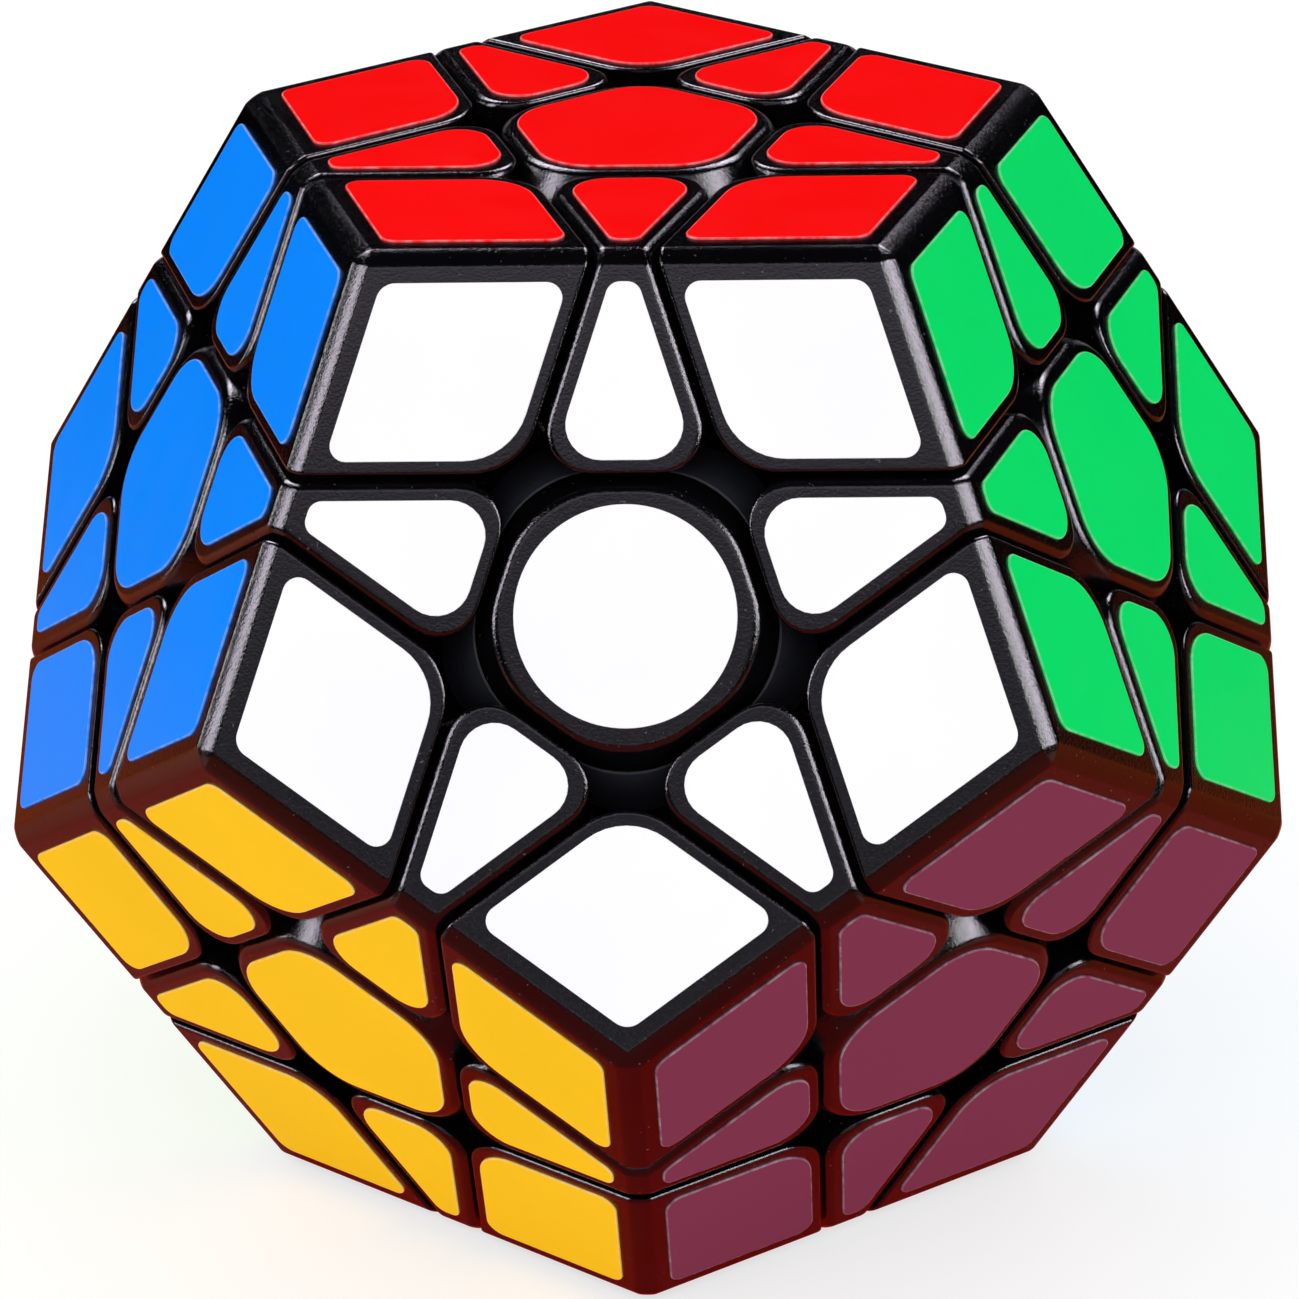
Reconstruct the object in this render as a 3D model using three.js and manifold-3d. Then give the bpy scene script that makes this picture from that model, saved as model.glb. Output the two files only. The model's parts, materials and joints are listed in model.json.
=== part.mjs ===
// Dodecahedron twisty puzzle: twelve coloured faces, each with a centre, five edges and five corners.
// Every piece is a body of planes and concentric spheres, so any face can turn past its neighbours.
// Units are millimetres, +Z is up, and the origin is the middle of the face that the puzzle stands on.
import * as THREE from "three";
import { mergeVertices } from "three/addons/utils/BufferGeometryUtils.js";
import Module from "manifold-3d";

const wasm = await Module();
wasm.setup();

// Driving dimensions.
const FACE_TO_FACE = 70;
const CUT_SHARE = 0.654; // a face layer starts at this share of the inradius
const GAP = 0.4; // running clearance between neighbouring pieces
const CREST_WIDTH = 1.4; // flat bevel along the thirty outer edges
const CORNER_ROUND = 3.5; // inner edges of the corner pieces
const EDGE_ROUND = 2.5; // acute inner edges of the edge pieces
const CENTRE_ROUND = 5; // outline corners of the centres
const ROUND_SEGMENTS = 1;

// The mechanism is in shells: shell bodies outside OUTER_SHELL, feet between FOOT_FLOOR and FOOT_TOP.
const OUTER_SHELL = 31.8;
const FOOT_TOP = 30.6;
const FOOT_FLOOR = 24.5;
const FOOT_CUT = 18.5; // the feet reach further under their neighbours than the bodies do
const SPHERE_DETAIL = 2;
const FLOOR_DETAIL = 1; // nothing runs close under the feet

// Core, hubs, caps and screws, as heights along a face axis from the puzzle's centre.
const BALL_RADIUS = 10;
const ARM_RADIUS = 4;
const ARM_TIP = 18;
const STEM_RADIUS = 5;
const STEM_FOOT = 18.4;
const WELL_RADIUS = 3.5;
const WELL_FLOOR = 21.4;
const HUB_TOP = 32.6;
const CAP_UNDERSIDE = 32.9;
const PLUG_RADIUS = 3.1;
const PLUG_TIP = 30.5;
const SCREW_TIP = 11.5;
const SHANK_RADIUS = 1.2;
const SHANK_BORE = 1.55;
const HEAD_RADIUS = 2.7;
const HEAD_FLOOR = 25;
const HEAD_TOP = 27;
const DRIVE_LENGTH = 3.4;
const DRIVE_WIDTH = 0.7;
const DRIVE_DEPTH = 1.2;

const INRADIUS = FACE_TO_FACE / 2;
const CUT = CUT_SHARE * INRADIUS;
const HALF_GAP = GAP / 2;
const BOX = 160; // side of the blocks that stand for half-spaces
const ROUND_PIECE = 16; // segments of round stems and wells

// Directions of the twelve faces: two poles and two rings of five.
const RING_TILT = Math.atan(0.5);
const ringFace = (azimuth, tilt) => {
  const turn = THREE.MathUtils.degToRad(azimuth);
  return new THREE.Vector3(
    Math.cos(turn) * Math.cos(tilt),
    Math.sin(turn) * Math.cos(tilt),
    Math.sin(tilt),
  );
};
const FACES = {
  red: new THREE.Vector3(0, 0, 1),
  orange: new THREE.Vector3(0, 0, -1),
};
["white", "green", "cream", "pink", "blue"].forEach((name, i) => {
  FACES[name] = ringFace(-90 + 72 * i, RING_TILT);
});
["yellow", "purple", "sky", "grey", "lime"].forEach((name, i) => {
  FACES[name] = ringFace(-126 + 72 * i, -RING_TILT);
});
const TURNING = ["white", "cream", "orange"]; // no two of these faces touch

const touching = (a, b) => a !== b && FACES[a].dot(FACES[b]) > 0.4;
const neighbours = (face) => Object.keys(FACES).filter((other) => touching(face, other));

// Sets of two and three faces that meet: the edges and the corners.
function meetings(size) {
  const names = Object.keys(FACES);
  const pairs = names.flatMap((a, i) =>
    names.slice(i + 1).filter((b) => touching(a, b)).map((b) => [a, b]),
  );
  if (size === 2) return pairs;
  return pairs.flatMap(([a, b]) =>
    names
      .slice(names.indexOf(b) + 1)
      .filter((c) => touching(a, c) && touching(b, c))
      .map((c) => [a, b, c]),
  );
}

// Solids and geometries.
function solid(geometry) {
  const bare = geometry.clone();
  bare.deleteAttribute("normal");
  bare.deleteAttribute("uv");
  const merged = mergeVertices(bare, 1e-4);
  return new wasm.Manifold(
    new wasm.Mesh({
      numProp: 3,
      vertProperties: merged.attributes.position.array,
      triVerts: new Uint32Array(merged.index.array),
    }),
  );
}

function geometryOf(body) {
  const mesh = body.getMesh();
  const geometry = new THREE.BufferGeometry();
  geometry.setAttribute("position", new THREE.BufferAttribute(mesh.vertProperties, 3));
  geometry.setIndex(new THREE.BufferAttribute(mesh.triVerts, 1));
  geometry.computeVertexNormals();
  return geometry;
}

const ball = (radius, detail = SPHERE_DETAIL) =>
  solid(new THREE.IcosahedronGeometry(radius, detail));
const upright = new THREE.Vector3(0, 0, 1);
const turnTo = (direction) => new THREE.Quaternion().setFromUnitVectors(upright, direction);

// A block whose face is the plane at this distance along the direction: short of it, or beyond it.
function halfSpace(direction, distance, side) {
  const block = new THREE.BoxGeometry(BOX, BOX, BOX);
  block.translate(0, 0, distance + (side * BOX) / 2);
  return solid(block.applyQuaternion(turnTo(direction)));
}
const shortOf = (direction, distance) => halfSpace(direction, distance, -1);
const beyond = (direction, distance) => halfSpace(direction, distance, 1);

// A round bar along a face axis, from one height to another.
function bar(direction, radius, from, to) {
  const round = new THREE.CylinderGeometry(radius, radius, to - from, ROUND_PIECE);
  round.rotateX(Math.PI / 2).translate(0, 0, (from + to) / 2);
  return solid(round.applyQuaternion(turnTo(direction)));
}

// The dodecahedron with its outer edges bevelled.
function bevelledBody() {
  const crest = Math.cos(Math.atan(2) / 2); // face direction against edge direction
  const crestDepth = CREST_WIDTH / 2 / Math.tan(Math.acos(Math.sqrt(1 - crest * crest)));
  const faces = Object.values(FACES).map((face) => shortOf(face, INRADIUS));
  const crests = meetings(2).map(([a, b]) =>
    shortOf(FACES[a].clone().add(FACES[b]).normalize(), INRADIUS / crest - crestDepth),
  );
  return [...faces, ...crests].reduce((body, cutter) => body.intersect(cutter));
}

// The space of the pieces that lie in the layers of some faces and outside those of others.
function layerSpace(inside, outside, cut) {
  return [
    ...inside.map((face) => beyond(FACES[face], cut + HALF_GAP)),
    ...outside.map((face) => shortOf(FACES[face], cut - HALF_GAP)),
  ].reduce((space, cutter) => space.intersect(cutter));
}

// What rounding takes off the edge where two cut planes meet. A side is 1 where the piece is
// beyond the plane and -1 where it is short of it.
function roundOff([faceA, sideA], [faceB, sideB], radius) {
  const into = FACES[faceA].clone().multiplyScalar(sideA);
  const other = FACES[faceB].clone().multiplyScalar(sideB);
  const along = new THREE.Vector3().crossVectors(into, other).normalize();
  const half = (Math.PI - into.angleTo(other)) / 2;
  const middle = into.clone().add(other).normalize();
  const across = new THREE.Vector3().crossVectors(along, middle);

  const reach = radius / Math.tan(half);
  const centre = radius / Math.sin(half);
  const sliver = new THREE.Shape();
  sliver.moveTo(-radius, -reach * Math.sin(half) - radius);
  sliver.lineTo(reach * Math.cos(half), -reach * Math.sin(half) - radius);
  sliver.lineTo(reach * Math.cos(half), -reach * Math.sin(half));
  sliver.absarc(centre, 0, radius, Math.PI * 1.5 - half, Math.PI / 2 + half, true);
  sliver.lineTo(reach * Math.cos(half), reach * Math.sin(half) + radius);
  sliver.lineTo(-radius, reach * Math.sin(half) + radius);
  const cutter = new THREE.ExtrudeGeometry(sliver, {
    depth: BOX,
    bevelEnabled: false,
    curveSegments: ROUND_SEGMENTS,
  });
  cutter.translate(0, 0, -BOX / 2);

  // The line where the two planes meet, at its point nearest the centre.
  const a = CUT * sideA + HALF_GAP;
  const b = CUT * sideB + HALF_GAP;
  const cosine = into.dot(other);
  const onLine = into
    .clone()
    .multiplyScalar((a - b * cosine) / (1 - cosine * cosine))
    .addScaledVector(other, (b - a * cosine) / (1 - cosine * cosine));
  cutter.applyMatrix4(new THREE.Matrix4().makeBasis(middle, across, along).setPosition(onLine));
  return solid(cutter);
}

const body = bevelledBody();

// A shell body over a foot: the foot lies under the neighbours and keeps the piece captive.
function footedPiece(inside, outside, rounds) {
  const space = layerSpace(inside, outside, CUT);
  const footSpace = layerSpace(inside, outside, FOOT_CUT);
  const shell = body.intersect(space).subtract(ball(OUTER_SHELL));
  const neck = ball(OUTER_SHELL + GAP)
    .intersect(space)
    .intersect(footSpace)
    .subtract(ball(FOOT_TOP - GAP));
  const foot = ball(FOOT_TOP).intersect(footSpace).subtract(ball(FOOT_FLOOR, FLOOR_DETAIL));
  return rounds
    .reduce((piece, cutter) => piece.subtract(cutter), shell)
    .add(neck)
    .add(foot);
}

function cornerPiece([a, b, c]) {
  const rounds = [[a, b], [b, c], [c, a]].map(([p, q]) => roundOff([p, 1], [q, 1], CORNER_ROUND));
  return footedPiece([a, b, c], [], rounds);
}

function edgePiece([a, b]) {
  const ends = neighbours(a).filter((face) => touching(face, b));
  const rounds = [a, b].flatMap((side) =>
    ends.map((end) => roundOff([side, 1], [end, -1], EDGE_ROUND)),
  );
  return footedPiece([a, b], ends, rounds);
}

// The outer body of a centre: five cut planes with rounded corners between them.
function centreShell(face) {
  const ring = neighbours(face);
  const space = layerSpace([face], ring, CUT);
  const rounds = meetings(2)
    .filter(([a, b]) => ring.includes(a) && ring.includes(b))
    .map(([a, b]) => roundOff([a, -1], [b, -1], CENTRE_ROUND));
  return rounds.reduce(
    (piece, cutter) => piece.subtract(cutter),
    body.intersect(space).subtract(ball(OUTER_SHELL)),
  );
}

function hubPiece(face) {
  const axis = FACES[face];
  return centreShell(face)
    .intersect(shortOf(axis, HUB_TOP))
    .add(bar(axis, STEM_RADIUS, STEM_FOOT, HUB_TOP))
    .subtract(bar(axis, WELL_RADIUS, WELL_FLOOR, INRADIUS))
    .subtract(bar(axis, SHANK_BORE, STEM_FOOT - 1, WELL_FLOOR + 1));
}

function capPiece(face) {
  const axis = FACES[face];
  return centreShell(face)
    .intersect(beyond(axis, CAP_UNDERSIDE))
    .add(bar(axis, PLUG_RADIUS, PLUG_TIP, CAP_UNDERSIDE + 1));
}

function screwPiece(face) {
  const axis = FACES[face];
  const drive = [0, Math.PI / 2].map((turn) => {
    const slot = new THREE.BoxGeometry(DRIVE_LENGTH, DRIVE_WIDTH, 2 * DRIVE_DEPTH);
    slot.rotateZ(turn).translate(0, 0, HEAD_TOP);
    return solid(slot.applyQuaternion(turnTo(axis)));
  });
  return bar(axis, SHANK_RADIUS, SCREW_TIP, HEAD_FLOOR + 1)
    .add(bar(axis, HEAD_RADIUS, HEAD_FLOOR, HEAD_TOP))
    .subtract(drive[0])
    .subtract(drive[1]);
}

// The ball with its twelve arms. Nine arms end in the centres of the faces that stay still.
function corePiece() {
  const still = Object.keys(FACES).filter((face) => !TURNING.includes(face));
  const arms = TURNING.map((face) => bar(FACES[face], ARM_RADIUS, 0, ARM_TIP));
  const stems = still.map((face) => bar(FACES[face], STEM_RADIUS, STEM_FOOT, HUB_TOP));
  const necks = still.map((face) => bar(FACES[face], ARM_RADIUS, 0, STEM_FOOT + 1));
  const centres = still.map(centreShell);
  const bores = TURNING.map((face) => bar(FACES[face], SHANK_BORE, SCREW_TIP - 0.5, ARM_TIP + 1));
  const joined = [...arms, ...stems, ...necks, ...centres].reduce(
    (core, piece) => core.add(piece),
    ball(BALL_RADIUS),
  );
  return bores.reduce((core, bore) => core.subtract(bore), joined);
}

// Materials.
const plastic = () =>
  new THREE.MeshStandardMaterial({ color: 0x0b0b0d, roughness: 0.25, metalness: 0 });
const corePlastic = () =>
  new THREE.MeshStandardMaterial({ color: 0x17171a, roughness: 0.45, metalness: 0 });
const steel = () =>
  new THREE.MeshStandardMaterial({ color: 0xb9bcc0, roughness: 0.3, metalness: 1 });

// The assembly, with the puzzle's centre one inradius above the face it stands on.
const puzzle = new THREE.Group();
const mechanism = new THREE.Group();
mechanism.position.set(0, 0, INRADIUS);
puzzle.add(mechanism);

function place(name, geometry, material) {
  const mesh = new THREE.Mesh(geometry, material);
  mesh.name = name;
  mechanism.add(mesh);
  return mesh;
}

// The turn that takes one set of meeting faces to another.
function turnBetween(from, to) {
  const frame = ([a, b]) => {
    const x = FACES[a].clone();
    const z = new THREE.Vector3().crossVectors(x, FACES[b]).normalize();
    return new THREE.Matrix4().makeBasis(x, new THREE.Vector3().crossVectors(z, x), z);
  };
  const turn = frame(to).multiply(frame(from).transpose());
  return new THREE.Quaternion().setFromRotationMatrix(turn);
}

// The faces of a corner in anticlockwise order, seen from outside.
function rightHanded([a, b, c]) {
  const turn = new THREE.Vector3().crossVectors(FACES[a], FACES[b]).dot(FACES[c]);
  return turn > 0 ? [a, b, c] : [a, c, b];
}

function addCorners() {
  const corners = meetings(3).map(rightHanded);
  const geometry = geometryOf(cornerPiece(corners[0]));
  for (const faces of corners) {
    place("corner_" + faces.join("_"), geometry, plastic()).quaternion.copy(
      turnBetween(corners[0], faces),
    );
  }
}

function addEdges() {
  const edges = meetings(2);
  const geometry = geometryOf(edgePiece(edges[0]));
  for (const faces of edges) {
    place("edge_" + faces.join("_"), geometry, plastic()).quaternion.copy(
      turnBetween(edges[0], faces),
    );
  }
}

function addTurningCentres() {
  for (const face of TURNING) {
    place("hub_" + face, geometryOf(hubPiece(face)), plastic());
    place("cap_" + face, geometryOf(capPiece(face)), plastic());
    place("screw_" + face, geometryOf(screwPiece(face)), steel());
  }
}

place("core", geometryOf(corePiece()), corePlastic());
addTurningCentres();
addEdges();
addCorners();

export default puzzle;
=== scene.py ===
"""Looks of the dodecahedron twisty puzzle: moulded pieces, vinyl stickers and the mechanism inside."""

import json
import math

import bmesh
import bpy
from mathutils import Matrix, Vector


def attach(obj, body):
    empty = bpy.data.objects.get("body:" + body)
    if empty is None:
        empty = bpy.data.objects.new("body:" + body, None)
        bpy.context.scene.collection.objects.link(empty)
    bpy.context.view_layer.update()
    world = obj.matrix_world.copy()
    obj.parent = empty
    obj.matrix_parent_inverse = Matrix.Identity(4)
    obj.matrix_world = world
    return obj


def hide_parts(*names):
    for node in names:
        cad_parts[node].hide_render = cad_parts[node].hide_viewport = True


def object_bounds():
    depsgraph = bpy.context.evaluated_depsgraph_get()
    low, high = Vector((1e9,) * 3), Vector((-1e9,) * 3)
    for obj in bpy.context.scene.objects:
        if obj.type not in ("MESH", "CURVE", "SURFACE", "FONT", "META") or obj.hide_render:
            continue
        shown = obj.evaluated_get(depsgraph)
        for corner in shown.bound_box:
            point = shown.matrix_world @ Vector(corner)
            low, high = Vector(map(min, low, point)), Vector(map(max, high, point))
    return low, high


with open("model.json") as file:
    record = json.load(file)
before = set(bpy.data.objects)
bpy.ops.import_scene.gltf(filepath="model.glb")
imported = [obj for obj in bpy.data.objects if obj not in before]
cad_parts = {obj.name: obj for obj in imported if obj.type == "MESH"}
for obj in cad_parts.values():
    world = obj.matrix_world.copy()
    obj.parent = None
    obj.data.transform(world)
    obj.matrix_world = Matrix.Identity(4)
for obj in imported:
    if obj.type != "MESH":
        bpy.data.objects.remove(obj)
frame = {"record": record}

CAD_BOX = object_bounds()

# The driving sizes, in millimetres. Heights are from the puzzle's centre along a piece's own axis.
MM = 0.001
FACE_TO_FACE = (CAD_BOX[1].z - CAD_BOX[0].z) / MM
INRADIUS = FACE_TO_FACE / 2
CENTRE = Vector((0, 0, INRADIUS * MM))
CUT = 0.654 * INRADIUS         # where a face layer starts
HALF_GAP = 0.2

# The outer bodies of corners, edges and centres.
OUTER_SHELL = 31.2             # underside of the corners, and the ball that hollows the hubs
EDGE_UNDERSIDE = OUTER_SHELL - 0.3
CENTRE_UNDERSIDE = 28.0
CREST_REACH = 0.94             # how far the soft chamfer of the thirty outer edges reaches
CREST_FLATNESS = 0.37          # its section: 0.25 is a plain chamfer, 0.5 a round
LIP = 0.42                     # how far the rounded lips of the grooves reach
UPRIGHT_STEPS, CREST_STEPS, LIP_STEPS = 10, 7, 4
JOINT_DEPTH = 2.2              # below the faces, where the two shells of a piece meet
JOINT_WIDTH = 0.3

# Radii of the rounded upright edges.
CORNER_ROUND = 5.2
EDGE_ROUND = 3.0
CENTRE_ROUND = 5.4
ROUND_CAP_ROUND = 6.9          # the white centre's cap is nearly a disc
HUB_ROUND = 6.4

# The captive feet, and the stalks that carry them: width, foot and top.
FOOT_TOP = 30.5
FOOT_FLOOR = 24.5
FOOT_CUT = 18.5
CORNER_STALK_RADIUS, CORNER_STALK_FOOT, CORNER_STALK_TOP = 2.3, 28.0, 34.0
EDGE_STALK_HALF_WIDTHS, EDGE_STALK_FOOT, EDGE_STALK_TOP = (3.0, 2.6), 27.0, 33.0

# The centres: a cap whose plug fits the well of a hub.
CAP_UNDERSIDE = 32.9
ROUND_CAP_INSET = 0.2
PLUG_RADIUS, PLUG_BORE, PLUG_FOOT, PLUG_ROOF, PLUG_TOP = 3.1, 2.5, 30.5, 31.6, 33.6
HUB_TOP = 32.6
HUB_INSET = 0.3
BELOW_HUB = 10.0
STEM_RADIUS, STEM_FOOT, STEM_TOP, STEM_BEVEL = 5.0, 18.4, 31.9, 0.6
WELL_RADIUS, WELL_FLOOR, WELL_MOUTH = 3.5, 21.4, 32.2
SCREW_HOLE_RADIUS = 1.55

# The core.
BALL_RADIUS = 10.0
ARM_RADIUS, ARM_FOOT, ARM_TOP = 4.0, 4.0, 18.0
ARM_FLARE = [(5.2, 8.0), (4.3, 10.6), (4.0, 12.0)]      # where an arm widens into the ball
ARM_BORE_RADIUS, ARM_BORE_FLOOR = 1.5, 11.0
ARM_BEVEL = 0.4

# The screws, washers and springs.
THREAD_PITCH, THREAD_ROOT, THREAD_RADIUS = 0.5, 0.98, 1.2
SCREW_TIP, THREAD_TOP, SHANK_RADIUS = 11.5, 20.0, 1.1
HEAD_UNDERSIDE, HEAD_TOP, HEAD_RADIUS, HEAD_FACE_RADIUS = 25.0, 27.0, 2.7, 2.3
RECESS_FLOOR, RECESS_TOP, RECESS_REACH, RECESS_HALF_WIDTH = 25.8, 28.0, 1.7, 0.35
WASHER_BORE, WASHER_RADIUS, WASHER_UNDERSIDE, WASHER_TOP, WASHER_BEVEL = 1.5, 3.1, 24.6, 24.95, 0.1
SPRING_WIRE, SPRING_RADIUS, SPRING_FOOT, SPRING_TOP = 0.22, 2.35, 21.72, 24.33
SPRING_TURNS, SPRING_CLEARANCE = 4.5, 0.02

# The stickers.
STICKER_MARGIN = 0.93          # black border beside the grooves
CREST_MARGIN = 1.78            # black border beside the outer edges of the puzzle
STICKER_THICKNESS = 0.12
STICKER_SINK = 0.03
KITE_ROUNDS = [1.2, 0.95, 4.0, 0.95]
DROP_ROUNDS = [0.88, 2.1, 2.1, 0.88]
CENTRE_STICKER_ROUND = 3.9
CENTRE_STICKER_GAIN = 0.1      # a centre's sticker comes this much nearer to its grooves
DISC_STICKER_RADIUS = 6.64

# Angles of the dodecahedron.
FACE_TILT = math.atan(0.5)                    # of the upper ring of faces
CORNER_ANGLE = math.acos(0.794654)            # from a corner direction to its faces
EDGE_ANGLE = math.acos(0.850651)              # from an edge direction to its faces
ACUTE, OBTUSE = math.atan(2), math.pi - math.atan(2)   # angles between face planes
FACE_APOTHEM = INRADIUS * (math.sqrt(5) - 1) / 2
CUT_ON_FACE = (CUT - INRADIUS * math.cos(ACUTE)) / math.sin(ACUTE)
GAP_ON_FACE = HALF_GAP / math.sin(ACUTE)
SMOOTH_ANGLE = math.radians(38)               # a sharper fold between facets stays sharp
FAR = 200.0                                   # side of the blocks that pieces are clipped from
# A boolean that leaves a smaller share of its first body has failed.
LEAST_LEFT = {"UNION": 0.99, "DIFFERENCE": 0.0001, "INTERSECT": 0.0001}


def ring_face(azimuth, tilt):
    """Direction of a face of the upper or lower ring."""
    turn = math.radians(azimuth)
    flat = math.cos(tilt)
    return Vector((math.cos(turn) * flat, math.sin(turn) * flat, math.sin(tilt)))


FACES = {"red": Vector((0, 0, 1)), "orange": Vector((0, 0, -1))}
for i, name in enumerate(["white", "green", "cream", "pink", "blue"]):
    FACES[name] = ring_face(-90 + 72 * i, FACE_TILT)
for i, name in enumerate(["yellow", "purple", "sky", "grey", "lime"]):
    FACES[name] = ring_face(-126 + 72 * i, -FACE_TILT)

STICKER_COLOURS = {            # sRGB, 0 to 255
    "white": (246, 245, 249), "red": (252, 2, 3), "green": (2, 220, 104), "cream": (247, 233, 176),
    "pink": (243, 128, 170), "blue": (2, 134, 254), "yellow": (252, 196, 28), "purple": (122, 52, 76),
    "sky": (120, 198, 240), "grey": (150, 152, 154), "lime": (160, 216, 40), "orange": (250, 112, 16),
}


# ---------------------------------------------------------------- materials

def linear(rgb):
    """An sRGB colour, 0 to 255, as the linear colour that nodes take."""
    return tuple(((c / 255 + 0.055) / 1.055) ** 2.4 if c > 10 else c / 255 / 12.92 for c in rgb) + (1,)


class Nodes:
    """A new material's node tree, with short calls for its nodes and links."""

    def __init__(self, name):
        self.material = bpy.data.materials.new(name)
        self.material.use_nodes = True
        self.tree = self.material.node_tree
        self.shader = self.tree.nodes["Principled BSDF"]
        self.place = self.add("ShaderNodeTexCoord").outputs["Object"]

    def add(self, kind, **settings):
        node = self.tree.nodes.new(kind)
        for key, value in settings.items():
            setattr(node, key, value)
        return node

    def link(self, source, target):
        self.tree.links.new(source, target)

    def noise(self, scale, detail=4.0, roughness=0.5):
        node = self.add("ShaderNodeTexNoise")
        node.inputs["Scale"].default_value = scale
        node.inputs["Detail"].default_value = detail
        node.inputs["Roughness"].default_value = roughness
        self.link(self.place, node.inputs["Vector"])
        return node.outputs["Fac"]

    def spread(self, source, low, high, start=0.3, end=0.7):
        """A value between low and high as source goes from start to end."""
        node = self.add("ShaderNodeMapRange")
        for key, value in {"From Min": start, "From Max": end, "To Min": low, "To Max": high}.items():
            node.inputs[key].default_value = value
        self.link(source, node.inputs["Value"])
        return node.outputs["Result"]

    def ramp(self, source, stops):
        node = self.add("ShaderNodeValToRGB")
        ends = node.color_ramp.elements
        for place, colour in stops[1:-1]:
            ends.new(place).color = colour
        ends[0].position, ends[0].color = stops[0]
        ends[len(ends) - 1].position, ends[len(ends) - 1].color = stops[-1]
        self.link(source, node.inputs["Fac"])
        return node.outputs["Color"]

    def bump(self, height, strength, distance):
        node = self.add("ShaderNodeBump")
        node.inputs["Strength"].default_value = strength
        node.inputs["Distance"].default_value = distance
        self.link(height, node.inputs["Height"])
        self.link(node.outputs["Normal"], self.shader.inputs["Normal"])

    def set(self, **values):
        for key, value in values.items():
            self.shader.inputs[key.replace("_", " ")].default_value = value


def shade(colour, share):
    """The colour darkened to this share."""
    return tuple(c * share for c in colour[:3]) + (1,)


def black_plastic():
    """Glossy moulded ABS, with a fine grain, a little handling haze and specks of dust."""
    n = Nodes("black_abs")
    haze = n.ramp(n.noise(scale=90, detail=6, roughness=0.6),
                  [(0.35, linear((4, 4, 6))), (0.75, linear((9, 9, 12)))])
    dust = n.spread(n.noise(scale=3800, detail=1, roughness=0.3), low=0, high=1, start=0.76, end=0.8)
    mix = n.add("ShaderNodeMix", data_type="RGBA")
    n.link(dust, mix.inputs["Factor"])
    n.link(haze, mix.inputs["A"])
    mix.inputs["B"].default_value = linear((70, 68, 74))
    n.link(mix.outputs["Result"], n.shader.inputs["Base Color"])
    smears = n.noise(scale=260, detail=5, roughness=0.55)
    n.link(n.spread(smears, low=0.05, high=0.1), n.shader.inputs["Roughness"])
    n.bump(n.noise(scale=6000, detail=3, roughness=0.6), strength=0.8, distance=0.00003)
    n.set(IOR=1.5)
    return n.material


def matt_plastic():
    """The inner parts: the same plastic with an eroded, matt surface."""
    n = Nodes("inner_abs")
    grain = n.noise(scale=1800, detail=4, roughness=0.6)
    drift = n.noise(scale=140, detail=5, roughness=0.6)
    stops = [(0.3, linear((34, 36, 46))), (0.7, linear((50, 52, 62)))]
    n.link(n.ramp(drift, stops), n.shader.inputs["Base Color"])
    n.link(n.spread(grain, low=0.42, high=0.6), n.shader.inputs["Roughness"])
    n.bump(grain, strength=0.35, distance=0.00003)
    return n.material


def metal(name, colour, low, high):
    """Bare or plated steel: a fine mottle in its tone and in its roughness, from low to high."""
    n = Nodes(name)
    streaks = n.noise(scale=900, detail=5, roughness=0.7)
    n.link(n.ramp(streaks, [(0.3, shade(colour, 0.8)), (0.7, colour)]), n.shader.inputs["Base Color"])
    n.link(n.spread(streaks, low, high), n.shader.inputs["Roughness"])
    n.bump(streaks, strength=0.15, distance=0.00002)
    n.set(Metallic=1.0)
    return n.material


def vinyl(name, colour):
    """A sticker's top: satin vinyl with a faint drift of tone, uneven gloss and orange peel."""
    n = Nodes("vinyl_" + name)
    drift = n.noise(scale=55, detail=3, roughness=0.5)
    stops = [(0.3, shade(colour, 0.955)), (0.7, colour)]
    n.link(n.ramp(drift, stops), n.shader.inputs["Base Color"])
    gloss = n.noise(scale=320, detail=5, roughness=0.6)
    n.link(n.spread(gloss, low=0.16, high=0.24), n.shader.inputs["Roughness"])
    n.bump(n.noise(scale=2600, detail=2, roughness=0.4), strength=0.08, distance=0.00002)
    n.set(Specular_IOR_Level=0.04)
    return n.material


def painted_rim_highlight(name, colour):
    """The cut rim of a sticker, its colour paled towards white: a painted highlight along the edge."""
    n = Nodes("painted_rim_highlight_" + name)
    # Painted highlight: the rim's colour is lifted towards white, as if light caught the cut edge.
    pale = tuple(0.78 * c + 0.22 for c in colour[:3]) + (1,)
    # The noise named core only mottles the painted highlight.
    core = n.noise(scale=1400, detail=4, roughness=0.6)
    n.link(n.ramp(core, [(0.35, colour), (0.7, pale)]), n.shader.inputs["Base Color"])
    fray = n.noise(scale=1500, detail=3, roughness=0.5)
    n.link(n.spread(fray, low=0.35, high=0.55), n.shader.inputs["Roughness"])
    n.set(Specular_IOR_Level=0.2)
    return n.material


# ---------------------------------------------------------------- mesh tools (millimetres)

TOP, WALL, UNDER = 1, 2, 3     # what a facet of a piece is: outer face, cut wall or underside


def block(size=FAR):
    """A big cube to clip pieces from."""
    bm = bmesh.new()
    bm.faces.layers.int.new("kind")
    bmesh.ops.create_cube(bm, size=size)
    return bm


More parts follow.
